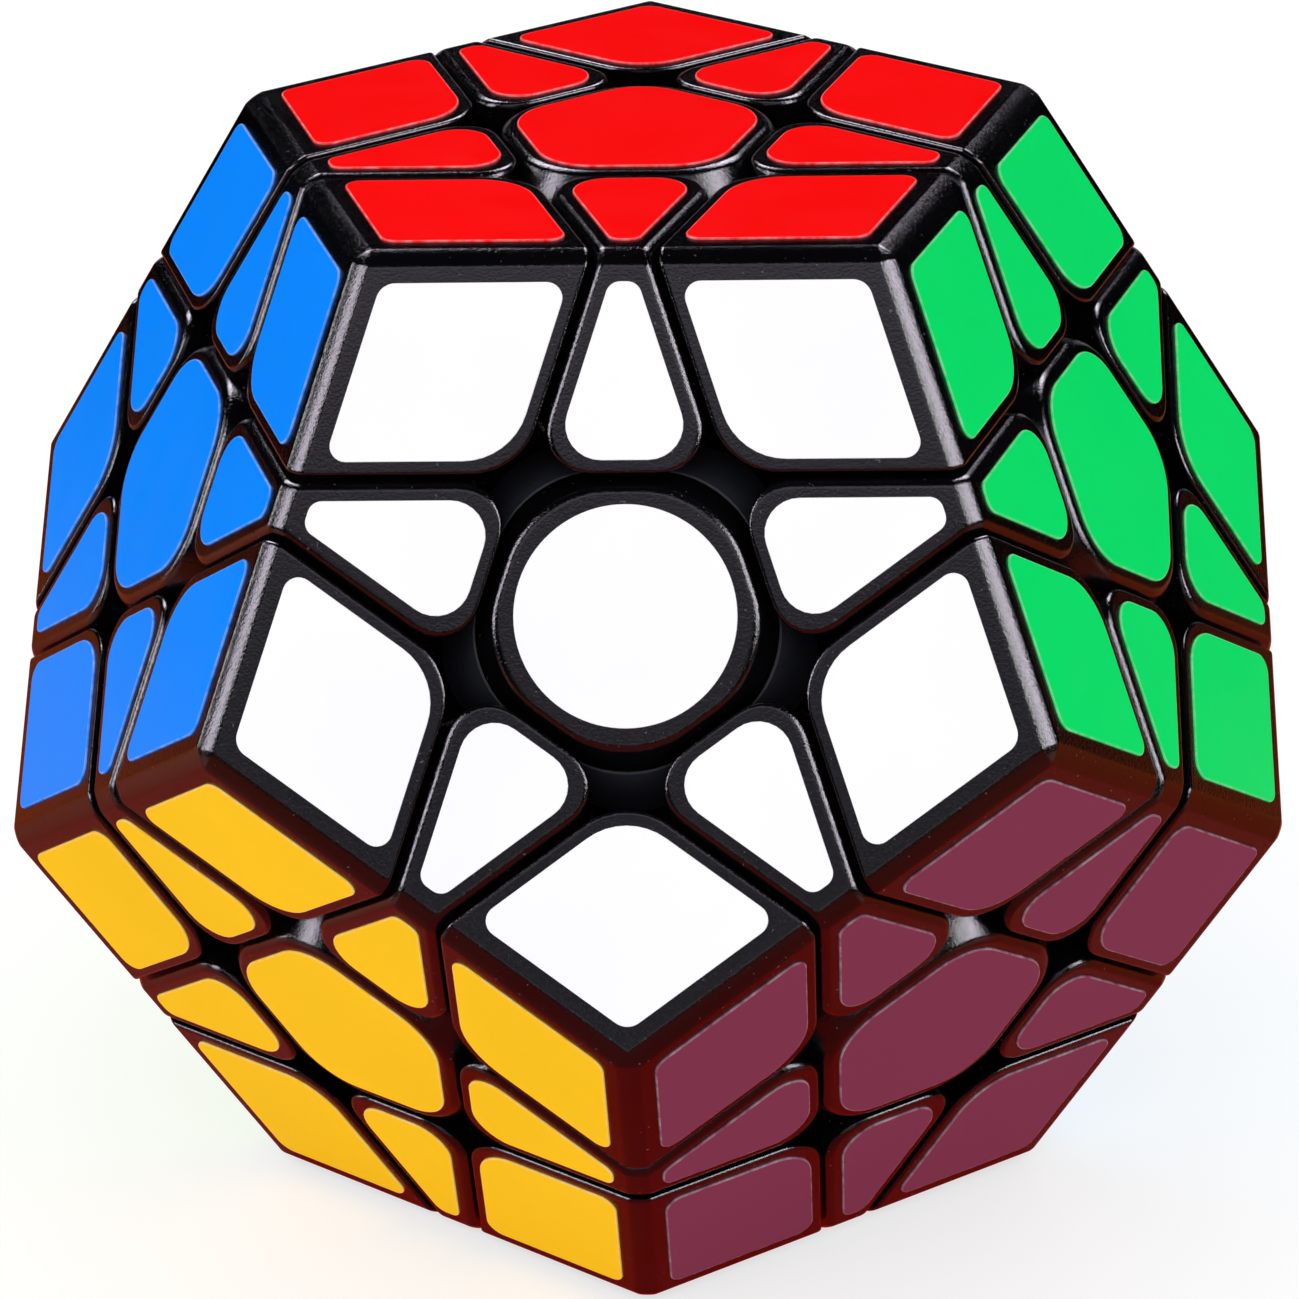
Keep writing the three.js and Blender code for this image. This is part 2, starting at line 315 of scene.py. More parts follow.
def clip(bm, direction, distance, kind, keep_beyond=False):
    """Keeps the part short of the plane, or beyond it, and closes the cut with one facet."""
    normal = -direction if keep_beyond else direction
    everything = bm.verts[:] + bm.edges[:] + bm.faces[:]
    cut = bmesh.ops.bisect_plane(bm, geom=everything, dist=1e-5, plane_co=direction * distance,
                                 plane_no=normal, clear_outer=True)
    rim = [e for e in cut["geom_cut"] if isinstance(e, bmesh.types.BMEdge)]
    made = bmesh.ops.edgeloop_fill(bm, edges=rim)["faces"]
    layer = bm.faces.layers.int["kind"]
    for facet in made:
        facet[layer] = kind
    bmesh.ops.recalc_face_normals(bm, faces=bm.faces[:])


def edges_between(bm, first, second):
    """The edges with one facet of each kind."""
    layer = bm.faces.layers.int["kind"]
    kinds = sorted((first, second))
    return [e for e in bm.edges
            if len(e.link_faces) == 2 and sorted(f[layer] for f in e.link_faces) == kinds]


def round_edges(bm, edges, reach, segments, flatness=0.5):
    """Rounds edges with an arc that starts this far from them on both sides."""
    bmesh.ops.bevel(bm, geom=edges, offset=reach, offset_type="OFFSET", segments=segments,
                    profile=flatness, affect="EDGES", clamp_overlap=True)


def mesh_of(bm, name):
    """The bmesh as a mesh, and the bmesh freed."""
    mesh = bpy.data.meshes.new(name)
    bm.to_mesh(mesh)
    bm.free()
    return mesh


def ball(radius, subdivisions=5):
    """A ball that can be clipped."""
    bm = bmesh.new()
    bm.faces.layers.int.new("kind")
    bmesh.ops.create_icosphere(bm, subdivisions=subdivisions, radius=radius)
    return bm


def turned(profile, segments=48):
    """A solid of revolution about Z from (radius, height) points, first and last on the axis."""
    bm = bmesh.new()
    verts = [bm.verts.new((radius, 0, height)) for radius, height in profile]
    edges = [bm.edges.new(pair) for pair in zip(verts, verts[1:])]
    bmesh.ops.spin(bm, geom=verts + edges, cent=(0, 0, 0), axis=(0, 0, 1), angle=math.tau,
                   steps=segments, use_merge=True)
    bmesh.ops.remove_doubles(bm, verts=bm.verts[:], dist=1e-4)
    bmesh.ops.recalc_face_normals(bm, faces=bm.faces[:])
    return bm


def volume_of(mesh):
    """The volume that a mesh encloses."""
    bm = bmesh.new()
    bm.from_mesh(mesh)
    volume = bm.calc_volume()
    bm.free()
    return volume


def combine(first, second, operation):
    """The union, difference or intersection of two meshes, as a new mesh."""
    least = LEAST_LEFT[operation] * volume_of(first)
    objects = [bpy.data.objects.new("working", mesh) for mesh in (first, second)]
    for obj in objects:
        bpy.context.scene.collection.objects.link(obj)
    modifier = objects[0].modifiers.new("combine", "BOOLEAN")
    modifier.operation, modifier.solver, modifier.object = operation, "EXACT", objects[1]
    result = bpy.data.meshes.new_from_object(
        objects[0].evaluated_get(bpy.context.evaluated_depsgraph_get()))
    for obj in objects:
        bpy.data.objects.remove(obj)
    for mesh in (first, second):
        bpy.data.meshes.remove(mesh)
    if volume_of(result) < least:
        raise RuntimeError(operation + " lost the body of a piece")
    return result


def finished(mesh, name, materials):
    """The mesh in metres, cleaned, with smooth lips beside flat facets."""
    bm = bmesh.new()
    bm.from_mesh(mesh)
    bmesh.ops.remove_doubles(bm, verts=bm.verts[:], dist=2e-3)
    bmesh.ops.dissolve_degenerate(bm, edges=bm.edges[:], dist=1e-3)
    bmesh.ops.recalc_face_normals(bm, faces=bm.faces[:])
    for facet in bm.faces:
        facet.smooth = True
        facet.material_index = min(facet.material_index, len(materials) - 1)
    for edge in bm.edges:
        edge.smooth = len(edge.link_faces) == 2 and edge.calc_face_angle(0) < SMOOTH_ANGLE
    bm.to_mesh(mesh)
    bm.free()
    mesh.transform(Matrix.Scale(MM, 4))
    mesh.name = name
    for material in materials:
        mesh.materials.append(material)
    return weighted(mesh)


def weighted(mesh):
    """The mesh with normals weighted by facet area, so that flat faces shade flat."""
    obj = bpy.data.objects.new("working", mesh)
    bpy.context.scene.collection.objects.link(obj)
    modifier = obj.modifiers.new("normals", "WEIGHTED_NORMAL")
    modifier.keep_sharp = True
    result = bpy.data.meshes.new_from_object(obj.evaluated_get(bpy.context.evaluated_depsgraph_get()))
    result.name = mesh.name
    bpy.data.objects.remove(obj)
    bpy.data.meshes.remove(mesh)
    return result


def foot(inside, outside):
    """The part of the inner shell that belongs to a piece, between two spheres."""
    bm = ball(FOOT_TOP)
    for direction in inside:
        clip(bm, direction, FOOT_CUT + HALF_GAP, WALL, keep_beyond=True)
    for direction in outside:
        clip(bm, direction, FOOT_CUT - HALF_GAP, WALL)
    return combine(mesh_of(bm, "foot"), mesh_of(ball(FOOT_FLOOR), "floor"), "DIFFERENCE")


# ---------------------------------------------------------------- the moulded pieces

def around(count, angle, first=0.0):
    """Directions at this angle from +Z, evenly round it."""
    return [Vector((math.sin(angle) * math.cos(first + math.tau * k / count),
                    math.sin(angle) * math.sin(first + math.tau * k / count),
                    math.cos(angle))) for k in range(count)]


def shell(inside, outside, underside, tops, upright_reach, inset_by=0.0):
    """The outer body of a piece, clipped, with its upright edges, crests and lips rounded.

    It lies inside the layers of some faces and outside those of others.
    """
    bm = block()
    for direction in tops:
        clip(bm, direction, INRADIUS, TOP)
    for direction in inside:
        clip(bm, direction, CUT + HALF_GAP, WALL, keep_beyond=True)
    for direction in outside:
        clip(bm, direction, CUT - HALF_GAP - inset_by, WALL)
    clip(bm, Vector((0, 0, 1)), underside, UNDER, keep_beyond=True)
    round_edges(bm, edges_between(bm, WALL, WALL), upright_reach, UPRIGHT_STEPS)
    crests = edges_between(bm, TOP, TOP)
    if crests:
        round_edges(bm, crests, CREST_REACH, CREST_STEPS, CREST_FLATNESS)
    round_edges(bm, edges_between(bm, TOP, WALL), LIP, LIP_STEPS)
    return mesh_of(bm, "shell")


def with_joint(body, inside, outside, upright_reach):
    """The body with the line where its two moulded shells meet cut into its walls.

    The three blocks differ in size, so that no facet of one lies on a facet of another.
    """
    above, below, within = block(0.8 * FAR), block(0.9 * FAR), block()
    for direction in inside:
        clip(above, direction, INRADIUS - JOINT_DEPTH, TOP)
        clip(below, direction, INRADIUS - JOINT_DEPTH - JOINT_WIDTH, TOP)
        clip(within, direction, CUT + HALF_GAP + JOINT_WIDTH, WALL, keep_beyond=True)
    for direction in outside:
        clip(within, direction, CUT - HALF_GAP - JOINT_WIDTH, WALL)
    round_edges(within, edges_between(within, WALL, WALL), upright_reach, UPRIGHT_STEPS)
    uncut = combine(mesh_of(below, "below"), mesh_of(within, "within"), "UNION")
    return combine(body, combine(mesh_of(above, "above"), uncut, "DIFFERENCE"), "DIFFERENCE")


def corner_mesh(material):
    """A corner, its three faces round +Z: outer body, stalk and foot."""
    faces = around(3, CORNER_ANGLE)
    reach = CORNER_ROUND / math.tan(OBTUSE / 2)
    body = with_joint(shell(faces, [], OUTER_SHELL, faces, reach), faces, [], reach)
    stalk = turned([(0, CORNER_STALK_FOOT), (CORNER_STALK_RADIUS, CORNER_STALK_FOOT),
                    (CORNER_STALK_RADIUS, CORNER_STALK_TOP), (0, CORNER_STALK_TOP)])
    body = combine(body, mesh_of(stalk, "stalk"), "UNION")
    return finished(combine(body, foot(faces, []), "UNION"), "corner", [material])


def edge_mesh(material):
    """An edge, its two faces either side of +Z towards X: outer body, stalk and foot."""
    faces = around(2, EDGE_ANGLE)
    ends = [Vector((0, side * math.cos(EDGE_ANGLE), math.sin(EDGE_ANGLE))) for side in (1, -1)]
    reach = EDGE_ROUND / math.tan(ACUTE / 2)
    body = with_joint(shell(faces, ends, EDGE_UNDERSIDE, faces, reach), faces, ends, reach)
    stalk = block()
    for direction, half_width in zip((Vector((1, 0, 0)), Vector((0, 1, 0))), EDGE_STALK_HALF_WIDTHS):
        clip(stalk, direction, half_width, WALL)
        clip(stalk, -direction, half_width, WALL)
    clip(stalk, Vector((0, 0, 1)), EDGE_STALK_TOP, UNDER)
    clip(stalk, Vector((0, 0, 1)), EDGE_STALK_FOOT, UNDER, keep_beyond=True)
    body = combine(body, mesh_of(stalk, "stalk"), "UNION")
    return finished(combine(body, foot(faces, ends), "UNION"), "edge", [material])


def centre_body(round_radius, inset_by=0.0):
    """A centre's outer body, one wall towards +Y; inset_by moves its five walls inwards."""
    ring = around(5, ACUTE, math.pi / 2)
    reach = round_radius / math.tan(OBTUSE / 2)
    return shell([], ring, CENTRE_UNDERSIDE, [Vector((0, 0, 1))], reach, inset_by)


def slab(low, high):
    """A wide block between two heights."""
    bm = block()
    clip(bm, Vector((0, 0, 1)), high, TOP)
    clip(bm, Vector((0, 0, 1)), low, UNDER, keep_beyond=True)
    return mesh_of(bm, "slab")


def cap_mesh(name, round_radius, inset_by, material):
    """A centre's cap: the lid, and the hollow plug under it."""
    lid = combine(centre_body(round_radius, inset_by), slab(CAP_UNDERSIDE, FAR / 3), "INTERSECT")
    plug = turned([(0, PLUG_ROOF), (PLUG_BORE, PLUG_ROOF), (PLUG_BORE, PLUG_FOOT + 0.2),
                   (PLUG_BORE + 0.2, PLUG_FOOT), (PLUG_RADIUS - 0.15, PLUG_FOOT),
                   (PLUG_RADIUS, PLUG_FOOT + 0.3), (PLUG_RADIUS, PLUG_TOP), (0, PLUG_TOP)])
    return finished(combine(lid, mesh_of(plug, "plug"), "UNION"), name, [material])


def hub_mesh(material):
    """A centre's hub: the flange under the cap, and a stem with the well and hole for its screw."""
    hollow = mesh_of(ball(OUTER_SHELL, 6), "hollow")
    flange = combine(centre_body(HUB_ROUND, HUB_INSET), hollow, "DIFFERENCE")
    flange = combine(flange, slab(BELOW_HUB, HUB_TOP), "INTERSECT")
    stem = turned([(0, STEM_FOOT), (STEM_RADIUS - STEM_BEVEL, STEM_FOOT),
                   (STEM_RADIUS, STEM_FOOT + STEM_BEVEL), (STEM_RADIUS, STEM_TOP), (0, STEM_TOP)])
    body = combine(flange, mesh_of(stem, "stem"), "UNION")
    well = turned([(0, WELL_FLOOR), (WELL_RADIUS, WELL_FLOOR), (WELL_RADIUS, WELL_MOUTH),
                   (WELL_RADIUS + 0.4, HUB_TOP + 1), (0, HUB_TOP + 1)])
    body = combine(body, mesh_of(well, "well"), "DIFFERENCE")
    bore = turned([(0, STEM_FOOT - 1), (SCREW_HOLE_RADIUS, STEM_FOOT - 1),
                   (SCREW_HOLE_RADIUS, WELL_FLOOR + 1), (0, WELL_FLOOR + 1)])
    return finished(combine(body, mesh_of(bore, "bore"), "DIFFERENCE"), "hub", [material])


# ---------------------------------------------------------------- the mechanism

def core_mesh(material):
    """The ball with its twelve arms, each with a bore for its screw."""
    core = mesh_of(ball(BALL_RADIUS), "ball")
    arm = [(0, ARM_FOOT), *ARM_FLARE, (ARM_RADIUS, ARM_TOP - ARM_BEVEL),
           (ARM_RADIUS - ARM_BEVEL, ARM_TOP), (0, ARM_TOP)]
    bore = [(0, ARM_BORE_FLOOR), (ARM_BORE_RADIUS, ARM_BORE_FLOOR),
            (ARM_BORE_RADIUS, ARM_TOP - ARM_BEVEL), (ARM_BORE_RADIUS + ARM_BEVEL, ARM_TOP + 0.5),
            (0, ARM_TOP + 0.5)]
    for direction in FACES.values():
        turn = direction.to_track_quat("Z", "Y").to_matrix().to_4x4()
        for profile, operation in ((arm, "UNION"), (bore, "DIFFERENCE")):
            tool = mesh_of(turned(profile, 32), "tool")
            tool.transform(turn)
            core = combine(core, tool, operation)
    return finished(core, "core", [material])


def screw_mesh(material):
    """A small pan-head screw, its thread a stack of ridges, with a cross recess in its head."""
    profile = [(0, SCREW_TIP), (0.5, SCREW_TIP)]
    height = SCREW_TIP + 0.3
    while height < THREAD_TOP:
        profile += [(THREAD_ROOT, height), (THREAD_RADIUS, height + THREAD_PITCH / 2)]
        height += THREAD_PITCH
    profile += [(SHANK_RADIUS, THREAD_TOP + 0.3), (SHANK_RADIUS, HEAD_UNDERSIDE),
                (HEAD_FACE_RADIUS, HEAD_UNDERSIDE), (HEAD_RADIUS, HEAD_UNDERSIDE + 0.3),
                (HEAD_RADIUS, HEAD_TOP - 1), (HEAD_FACE_RADIUS, HEAD_TOP - 0.3),
                (1.4, HEAD_TOP), (0, HEAD_TOP)]
    screw = mesh_of(turned(profile, 32), "screw")
    sides = ((0, RECESS_REACH), (math.pi, RECESS_REACH),
             (math.pi / 2, RECESS_HALF_WIDTH), (-math.pi / 2, RECESS_HALF_WIDTH))
    for turn in (0, math.pi / 2):
        slot = block()
        for angle, reach in sides:
            clip(slot, Vector((math.cos(angle + turn), math.sin(angle + turn), 0)), reach, WALL)
        clip(slot, Vector((0, 0, 1)), RECESS_FLOOR, UNDER, keep_beyond=True)
        clip(slot, Vector((0, 0, 1)), RECESS_TOP, TOP)
        screw = combine(screw, mesh_of(slot, "slot"), "DIFFERENCE")
    return finished(screw, "screw", [material])


def washer_mesh(material):
    """A flat washer with its outer rim broken."""
    bm = bmesh.new()
    flat_radius = WASHER_RADIUS - WASHER_BEVEL
    section = [(WASHER_BORE, WASHER_UNDERSIDE), (flat_radius, WASHER_UNDERSIDE),
               (WASHER_RADIUS, WASHER_UNDERSIDE + WASHER_BEVEL), (WASHER_RADIUS, WASHER_TOP - WASHER_BEVEL),
               (flat_radius, WASHER_TOP), (WASHER_BORE, WASHER_TOP)]
    verts = [bm.verts.new((radius, 0, height)) for radius, height in section]
    edges = [bm.edges.new((a, b)) for a, b in zip(verts, verts[1:] + verts[:1])]
    bmesh.ops.spin(bm, geom=verts + edges, cent=(0, 0, 0), axis=(0, 0, 1), angle=math.tau, steps=40,
                   use_merge=True)
    bmesh.ops.remove_doubles(bm, verts=bm.verts[:], dist=1e-4)
    return finished(mesh_of(bm, "washer"), "washer", [material])


def spring_mesh(material):
    """A compression spring of round wire, its first and last turns closed."""
    steps_per_turn, sides = 28, 10
    round_wire = [math.tau * k / sides for k in range(sides)]
    closed_pitch = 2 * SPRING_WIRE + SPRING_CLEARANCE
    open_pitch = (SPRING_TOP - SPRING_FOOT - 2 * closed_pitch) / (SPRING_TURNS - 2)
    bm = bmesh.new()
    rings = []
    count = int(SPRING_TURNS * steps_per_turn)
    for i in range(count + 1):
        turn = i / count * SPRING_TURNS
        opened = min(max(turn - 1, 0), SPRING_TURNS - 2)
        angle = turn * math.tau
        height = SPRING_FOOT + closed_pitch * (turn - opened) + open_pitch * opened
        out = Vector((math.cos(angle), math.sin(angle), 0))
        middle = out * SPRING_RADIUS + Vector((0, 0, height))
        rings.append([bm.verts.new(middle + SPRING_WIRE * (out * math.cos(a) + Vector((0, 0, math.sin(a)))))
                      for a in round_wire])
    for low_ring, high_ring in zip(rings, rings[1:]):
        for k in range(sides):
            n = (k + 1) % sides
            bm.faces.new((low_ring[k], low_ring[n], high_ring[n], high_ring[k]))
    bm.faces.new(rings[0][::-1])
    bm.faces.new(rings[-1])
    return finished(mesh_of(bm, "spring"), "spring", [material])


# ---------------------------------------------------------------- stickers

def outline(lines, radii, steps=8):
    """The rounded polygon inside lines (angle, distance), in order round it, a radius to each corner."""
    points = []
    for k, (angle, distance) in enumerate(lines):
        other_angle, other_distance = lines[(k + 1) % len(lines)]
        radius = radii[k]
        # The arc's centre is this radius inside both lines.
        a, b = distance - radius, other_distance - radius
        spin = math.sin(other_angle - angle)
        x = (a * math.sin(other_angle) - b * math.sin(angle)) / spin
        y = (b * math.cos(angle) - a * math.cos(other_angle)) / spin
        sweep = (other_angle - angle) % math.tau
        for i in range(steps + 1):
            at = angle + sweep * i / steps
            points.append((x + radius * math.cos(at), y + radius * math.sin(at)))
    return points


def disc(radius, steps=96):
    """A round outline."""
    return [(radius * math.cos(math.tau * k / steps), radius * math.sin(math.tau * k / steps))
            for k in range(steps)]


def inset(points, amount):
    """A smooth outline moved inwards."""
    moved = []
    count = len(points)
    for k, (x, y) in enumerate(points):
        before, after = points[k - 1], points[(k + 1) % count]
        along = Vector((after[0] - before[0], after[1] - before[1])).normalized()
        moved.append((x - along.y * amount, y + along.x * amount))
    return moved


def sticker_mesh(name, points, colour):
    """A thin sheet on the outer face, its rim rounded over."""
    # Each ring of the rim: how far inwards, and how high over the face.
    rings = [(0.0, -STICKER_SINK), (0.0, STICKER_THICKNESS * 0.55), (0.03, STICKER_THICKNESS * 0.88),
             (0.09, STICKER_THICKNESS)]
    bm = bmesh.new()
    loops = [[bm.verts.new((x, y, INRADIUS + height)) for x, y in inset(points, amount)]
             for amount, height in rings]
    count = len(points)
    for lower, upper in zip(loops, loops[1:]):
        for k in range(count):
            n = (k + 1) % count
            bm.faces.new((lower[k], lower[n], upper[n], upper[k])).material_index = 1
    bm.faces.new(loops[-1]).material_index = 0
    bm.faces.new(loops[0][::-1]).material_index = 1
    mesh = mesh_of(bm, "sticker_" + name)
    return finished(mesh, "sticker_" + name, [vinyl_of[colour], rim_highlight_of[colour]])


SIDE = math.radians(72)        # between neighbouring edges of a face
CREST_LINE = FACE_APOTHEM - CREST_MARGIN
INNER_LINE = CUT_ON_FACE + GAP_ON_FACE + STICKER_MARGIN
SIDE_LINE = CUT_ON_FACE - GAP_ON_FACE - STICKER_MARGIN


def corner_outline():
    """A kite: +Y points at the face's corner."""
    half, up = SIDE / 2, math.pi / 2
    lines = [(up - half, CREST_LINE), (up + half, CREST_LINE),
             (up - half + math.pi, -INNER_LINE), (up + half + math.pi, -INNER_LINE)]
    return outline(lines, KITE_ROUNDS)


def edge_outline():
    """A drop, narrow towards the face's edge at +Y."""
    up = math.pi / 2
    lines = [(up, CREST_LINE), (up + SIDE, SIDE_LINE), (up + math.pi, -INNER_LINE), (up - SIDE, SIDE_LINE)]
    return outline(lines, DROP_ROUNDS)


def centre_outline(colour):
    """A rounded pentagon, and on the white face a disc."""
    if colour == "white":
        return disc(DISC_STICKER_RADIUS)
    lines = [(math.pi / 2 + SIDE * k, SIDE_LINE + CENTRE_STICKER_GAIN) for k in range(5)]
    return outline(lines, [CENTRE_STICKER_ROUND] * 5, 12)


# ---------------------------------------------------------------- placing

def frame_of(z, towards):
    """The turn whose +Z is z and whose +Y leans towards a direction."""
    z = z.normalized()
    y = (towards - z * towards.dot(z)).normalized()
    x = y.cross(z)
    return Matrix((x, y, z)).transposed().to_4x4()


def put(name, mesh, turn, body):
    """One copy of a part, with its turn worked into its own mesh."""
    own_mesh = mesh.copy()
    own_mesh.transform(turn)
    obj = bpy.data.objects.new(name, own_mesh)
    bpy.context.scene.collection.objects.link(obj)
    obj.location = CENTRE
    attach(obj, body)
    return obj


BODY_OF = {node: body for body, nodes in frame["record"]["behaviour"]["bodies"].items() for node in nodes}
SLOT_OF_CENTRE_PART = {"hub": "black_plastic", "cap": "black_plastic", "screw": "screw_steel",
                       "washer": "screw_steel", "spring": "spring_steel"}


def touching(a, b):
    """Whether two faces are neighbours: the cosine between their directions is then 0.447."""
    return a != b and FACES[a].dot(FACES[b]) > 0.4


def place_corners(mesh, sticker):
    """The corner pieces, each with its three stickers."""
    for node in [n for n in BODY_OF if n.startswith("corner_")]:
        names = node.split("_")[1:]
        middle = sum((FACES[n] for n in names), Vector())
        first = FACES[names[0]]
        turn = frame_of(middle, middle.cross(first))
        piece = put("moulded_" + node, mesh, turn, BODY_OF[node])
        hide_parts(node)
        for face in names:
            others = [n for n in names if n != face]
            put("sticker_" + "_".join([face, "corner", *others]), sticker[face],
                frame_of(FACES[face], middle), BODY_OF[node])


def place_edges(mesh, sticker):
    """The edge pieces, each with its two stickers."""
    for node in [n for n in BODY_OF if n.startswith("edge_")]:
        names = node.split("_")[1:]
        a, b = (FACES[n] for n in names)
        turn = frame_of(a + b, (a + b).cross(a - b))
        piece = put("moulded_" + node, mesh, turn, BODY_OF[node])
        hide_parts(node)
        for face, other in (names, names[::-1]):
            put(f"sticker_{face}_edge_{other}", sticker[face], frame_of(FACES[face], FACES[other]),
                BODY_OF[node])


def place_centres(parts, sticker):
    """Hub, cap, screw, washer and spring of every face."""
    for face, direction in FACES.items():
        neighbour = next(n for n in FACES if touching(face, n))
        turn = frame_of(direction, FACES[neighbour])
        layer = BODY_OF.get("hub_" + face, BODY_OF["core"])
        for kind, slot in SLOT_OF_CENTRE_PART.items():
            body = BODY_OF["core"] if kind == "screw" else layer
            mesh = parts["round_cap"] if kind == "cap" and face == "white" else parts[kind]
            piece = put(f"{kind}_of_{face}", mesh, turn, body)
            if f"{kind}_{face}" in BODY_OF:
                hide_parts(f"{kind}_{face}")
        put(f"sticker_{face}_centre", sticker[face], turn, layer)


# ---------------------------------------------------------------- camera, floor and lights

CAMERA_AZIMUTH, CAMERA_ELEVATION, CAMERA_ROLL = 2.53, 25.0, -1.43     # degrees
CAMERA_DISTANCE = 0.344        # metres from the puzzle's centre
CAMERA_LENS, CAMERA_SENSOR = 144.8, 36        # millimetres
AIM_BELOW = 0.00127            # metres, a little below the puzzle's centre
FLOOR_RADIUS, CARD_RADIUS = 4.0, 0.3          # metres
FLOOR_CLEARANCE = 0.02         # millimetres under the lowest sticker
LILAC = (0.93, 0.86, 1.0)
NEAR_WHITE = (1, 0.98, 1)
REFLECTED_BOXES = [            # name, azimuth, elevation, distance, width, height, radiance, colour
    ("left_box", -71, 27, 0.7, 0.18, 0.5, 14.0, LILAC),
    ("left_tube", -104, 12, 0.7, 0.08, 0.4, 12.0, NEAR_WHITE),
    ("right_box", 76, 27, 0.7, 0.16, 0.5, 17.0, LILAC),
    ("right_tube", 58, 27, 0.7, 0.05, 0.5, 24.0, NEAR_WHITE),
    ("front_box", 2, 20, 0.8, 0.6, 0.26, 0.32, LILAC),
    ("top_box", 2, 44, 0.8, 1.0, 0.34, 1.3, LILAC),
    ("low_box", 2, 8, 0.8, 0.8, 0.08, 1.8, LILAC),
    ("rear_left_box", -148, 48, 0.8, 0.32, 0.3, 15.0, LILAC),
    ("rear_right_box", 150, 48, 0.8, 0.32, 0.3, 15.0, LILAC),
    ("back_box", 180, 2, 0.8, 0.9, 0.14, 0.8, LILAC),
]


def direction_to(azimuth, elevation):
    """Direction from the puzzle; azimuth 0 is in front of it, at -Y."""
    a, e = math.radians(azimuth), math.radians(elevation)
    return Vector((math.sin(a) * math.cos(e), -math.cos(a) * math.cos(e), math.sin(e)))


def add_camera():
    """The camera, level but for its roll."""
    data = bpy.data.cameras.new("camera")
    camera = bpy.data.objects.new("camera", data)
    bpy.context.scene.collection.objects.link(camera)
    place = CENTRE + direction_to(CAMERA_AZIMUTH, CAMERA_ELEVATION) * CAMERA_DISTANCE
    back = (place - CENTRE + Vector((0, 0, AIM_BELOW))).normalized()
    level = Vector((0, 0, 1)).cross(back).normalized()
    up = back.cross(level)
    roll = math.radians(CAMERA_ROLL)
    right = level * math.cos(roll) + up * math.sin(roll)
    turn = Matrix((right, back.cross(right), back)).transposed()
    camera.matrix_world = Matrix.Translation(place) @ turn.to_4x4()
    data.lens, data.sensor_width = CAMERA_LENS, CAMERA_SENSOR
    data.clip_start, data.clip_end = 0.01, 20
    bpy.context.scene.camera = camera


def flat_disc(name, radius, height, material):
    """A level disc that is part of the stage."""
    bm = bmesh.new()
    bmesh.ops.create_circle(bm, cap_ends=True, segments=96, radius=radius)
    disc_object = bpy.data.objects.new(name, mesh_of(bm, name))
    disc_object.location.z = height
    bpy.context.scene.collection.objects.link(disc_object)
    disc_object.data.materials.append(material)
    return disc_object


def pale_floor():
    """Matt pale grey that gives off some light of its own."""
    n = Nodes("floor")
    stops = [(0.3, (0.34, 0.34, 0.34, 1)), (0.7, (0.37, 0.37, 0.37, 1))]
    n.link(n.ramp(n.noise(scale=3, detail=2), stops), n.shader.inputs["Base Color"])
    n.set(Roughness=0.9, Specular_IOR_Level=0.0, Emission_Color=(1, 1, 1, 1), Emission_Strength=0.68)
    return n.material


def warm_glow():
    """A red-brown glow, more orange away from the middle."""
    n = Nodes("warm_card")
    across = n.add("ShaderNodeSeparateXYZ")
    n.link(n.place, across.inputs["Vector"])
    from_middle = n.add("ShaderNodeMath", operation="ABSOLUTE")
    n.link(across.outputs["X"], from_middle.inputs[0])
    share = n.spread(from_middle.outputs[0], low=0, high=1, start=0.02, end=0.14)
    stops = [(0.0, (1.0, 0.015, 0.0, 1)), (1.0, (1.0, 0.15, 0.01, 1))]
    n.link(n.ramp(share, stops), n.shader.inputs["Emission Color"])
    n.set(Base_Color=(0, 0, 0, 1), Emission_Strength=0.62)
    return n.material


def add_floor():
    """A wide floor just clear of the lowest sticker, and under it a card that only reflections see."""
    height = -(STICKER_THICKNESS + FLOOR_CLEARANCE) * MM
    floor = flat_disc("floor", FLOOR_RADIUS, height, pale_floor())
    floor.visible_glossy = False
    card = flat_disc("warm_card", CARD_RADIUS, height - 0.0001, warm_glow())
    card.visible_camera = card.visible_diffuse = card.visible_shadow = False


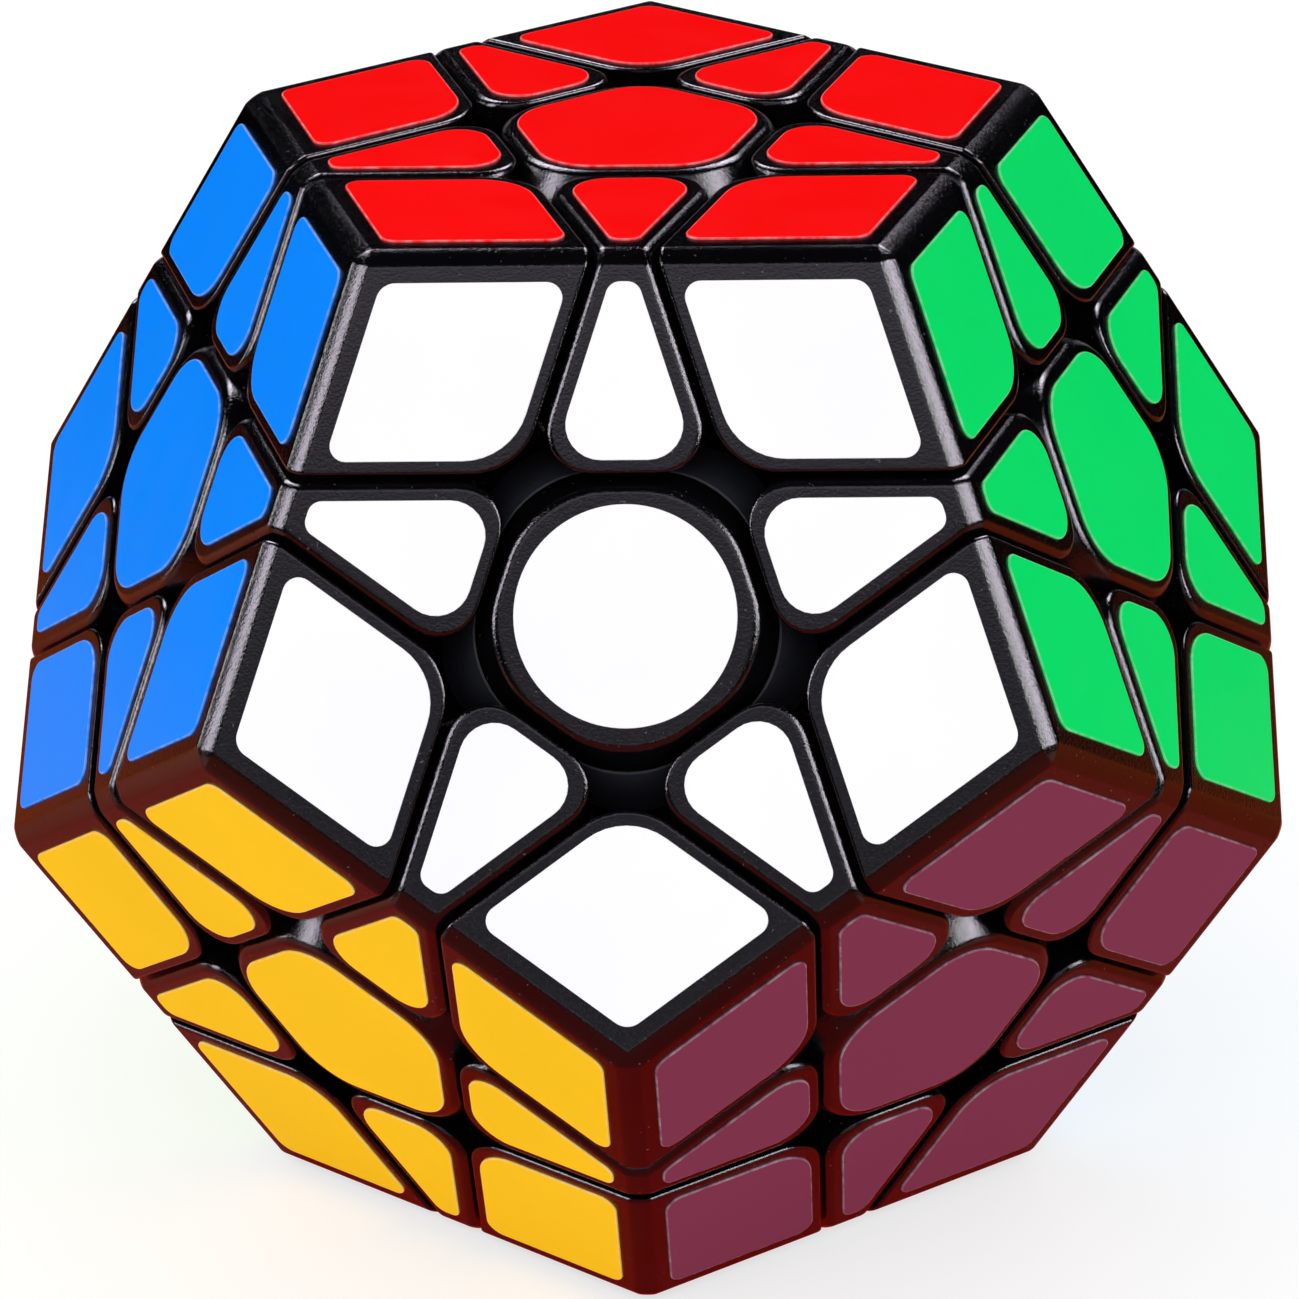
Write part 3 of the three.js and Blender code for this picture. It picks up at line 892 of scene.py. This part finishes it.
def add_area(name, azimuth, elevation, distance, width, height, radiance, colour, reflected):
    """A soft box of this radiance, facing the puzzle: seen only in reflections, or in none."""
    data = bpy.data.lights.new(name, "AREA")
    data.shape, data.size, data.size_y = "RECTANGLE", width, height
    data.energy, data.color = radiance * math.pi * width * height, colour
    light = bpy.data.objects.new(name, data)
    back = direction_to(azimuth, elevation)
    light.location = CENTRE + back * distance
    light.rotation_euler = back.to_track_quat("Z", "Y").to_euler()
    light.visible_camera = False
    light.visible_diffuse = not reflected
    light.visible_glossy = reflected
    bpy.context.scene.collection.objects.link(light)


def add_lights():
    """An even white surround, a soft key light, and the boxes that make the glints."""
    world = bpy.data.worlds.new("studio")
    world.use_nodes = True
    world.node_tree.nodes["Background"].inputs["Color"].default_value = (1, 1, 1, 1)
    world.node_tree.nodes["Background"].inputs["Strength"].default_value = 1.0
    world.cycles_visibility.glossy = False
    bpy.context.scene.world = world
    add_area("key", -25, 50, 0.8, 0.5, 0.5, 0.9, (1, 1, 1), reflected=False)
    for row in REFLECTED_BOXES:
        add_area(*row, reflected=True)
    bpy.context.scene.view_settings.view_transform = "Standard"


# ---------------------------------------------------------------- building

vinyl_of = {name: vinyl(name, linear(rgb)) for name, rgb in STICKER_COLOURS.items()}
# Each sticker's rim material carries a painted highlight, paler than the sticker.
rim_highlight_of = {name: painted_rim_highlight(name, linear(rgb)) for name, rgb in STICKER_COLOURS.items()}
black = black_plastic()
inner = matt_plastic()
steel = metal("plated_steel", (0.78, 0.78, 0.8, 1), 0.2, 0.36)
spring_wire = metal("spring_wire", (0.6, 0.6, 0.62, 1), 0.28, 0.42)

add_camera()
place_corners(corner_mesh(black),
              {c: sticker_mesh("corner_" + c, corner_outline(), c) for c in FACES})
place_edges(edge_mesh(black),
            {c: sticker_mesh("edge_" + c, edge_outline(), c) for c in FACES})
centre_parts = {
    "hub": hub_mesh(inner),
    "cap": cap_mesh("cap", CENTRE_ROUND, 0.0, black),
    "round_cap": cap_mesh("round_cap", ROUND_CAP_ROUND, ROUND_CAP_INSET, black),
    "screw": screw_mesh(steel),
    "washer": washer_mesh(steel),
    "spring": spring_mesh(spring_wire),
}
place_centres(centre_parts, {c: sticker_mesh("centre_" + c, centre_outline(c), c) for c in FACES})
core = put("core_spider", core_mesh(inner), Matrix.Identity(4), BODY_OF["core"])
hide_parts("core")
add_floor()
add_lights()
